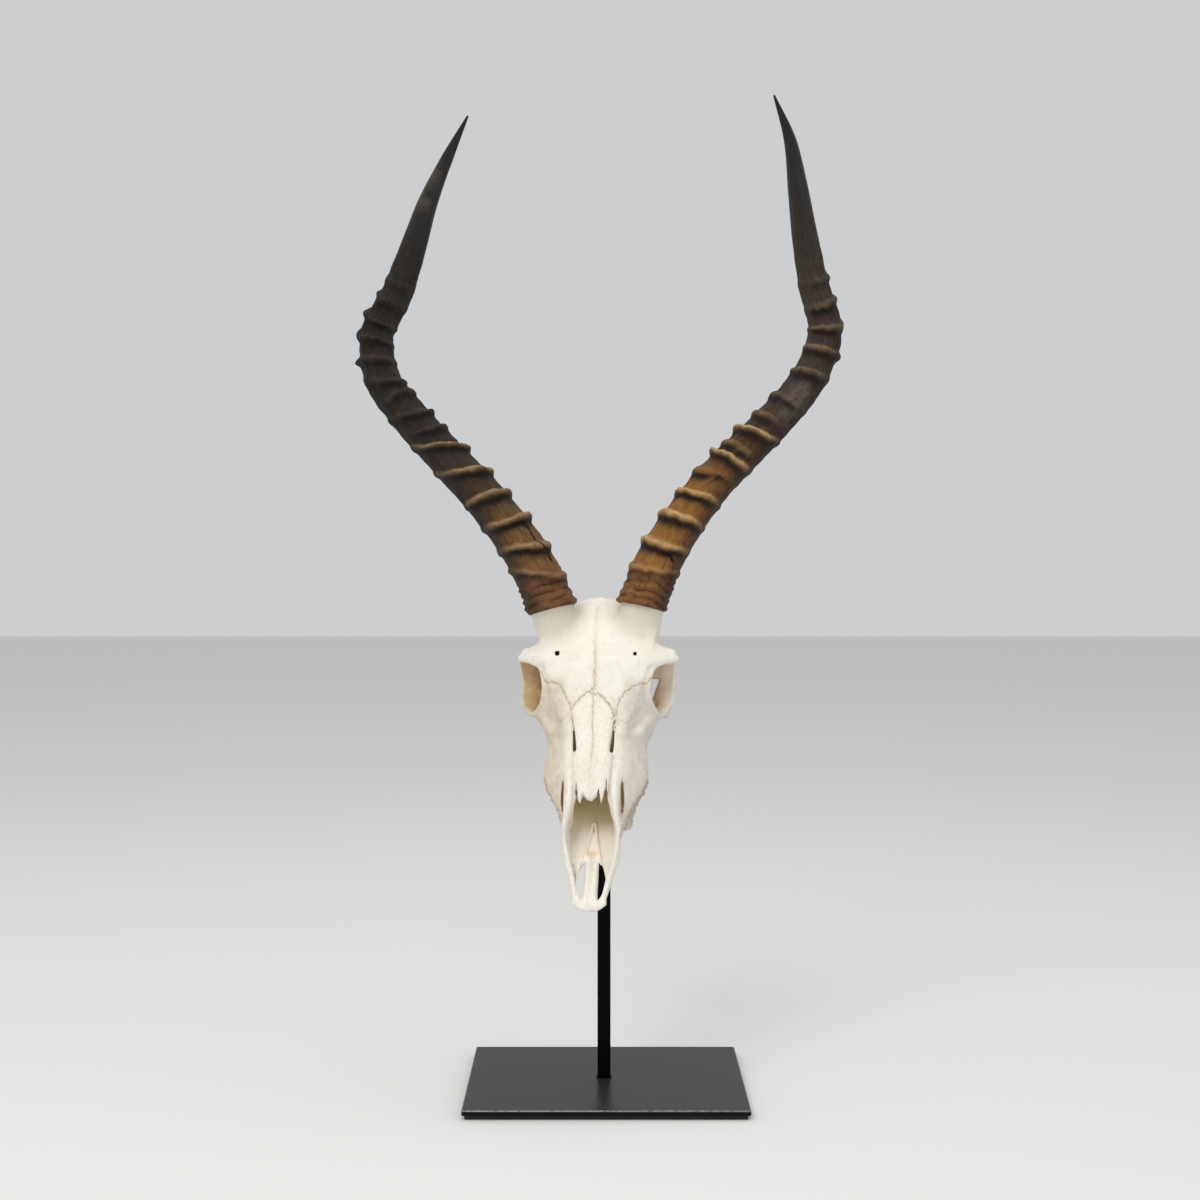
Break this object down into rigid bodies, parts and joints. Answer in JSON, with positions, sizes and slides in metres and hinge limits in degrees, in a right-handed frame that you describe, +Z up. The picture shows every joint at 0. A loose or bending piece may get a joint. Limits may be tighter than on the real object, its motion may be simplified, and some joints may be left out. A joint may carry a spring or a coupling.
{
  "type": "impala skull with horns on a stand",
  "caption": "Bleached impala skull with its ringed, curving horns, held nose down on a square black post over a flat steel base.",
  "frame": {"origin": "middle of the underside of the base, on the surface it stands on", "axes": "+Z up along the post; the skull faces -Y and +X is to the viewer's right"},
  "size_m": [0.3636, 0.1797, 0.7235],
  "materials": {
    "bone": "dry bleached bone, matt, cream white with tan seams",
    "dark_horn": "dark grey-brown horn, ochre at the foot, light tan ring crests",
    "brown_horn": "warm brown horn, grey-brown above the bend, near-black tip",
    "enamel": "stained tooth enamel, satin",
    "black_steel": "satin black coating on steel",
    "pad_rubber": "matt black rubber pad"
  },
  "bodies": {
    "root": {"base_pad": "pad_rubber", "base_plate": "black_steel", "post": "black_steel", "skull": "bone", "left_horn": "dark_horn", "right_horn": "brown_horn", "left_tooth_1": "enamel", "left_tooth_2": "enamel", "left_tooth_3": "enamel", "left_tooth_4": "enamel", "left_tooth_5": "enamel", "left_tooth_6": "enamel", "right_tooth_1": "enamel", "right_tooth_2": "enamel", "right_tooth_3": "enamel", "right_tooth_4": "enamel", "right_tooth_5": "enamel", "right_tooth_6": "enamel"}
  },
  "joints": []
}
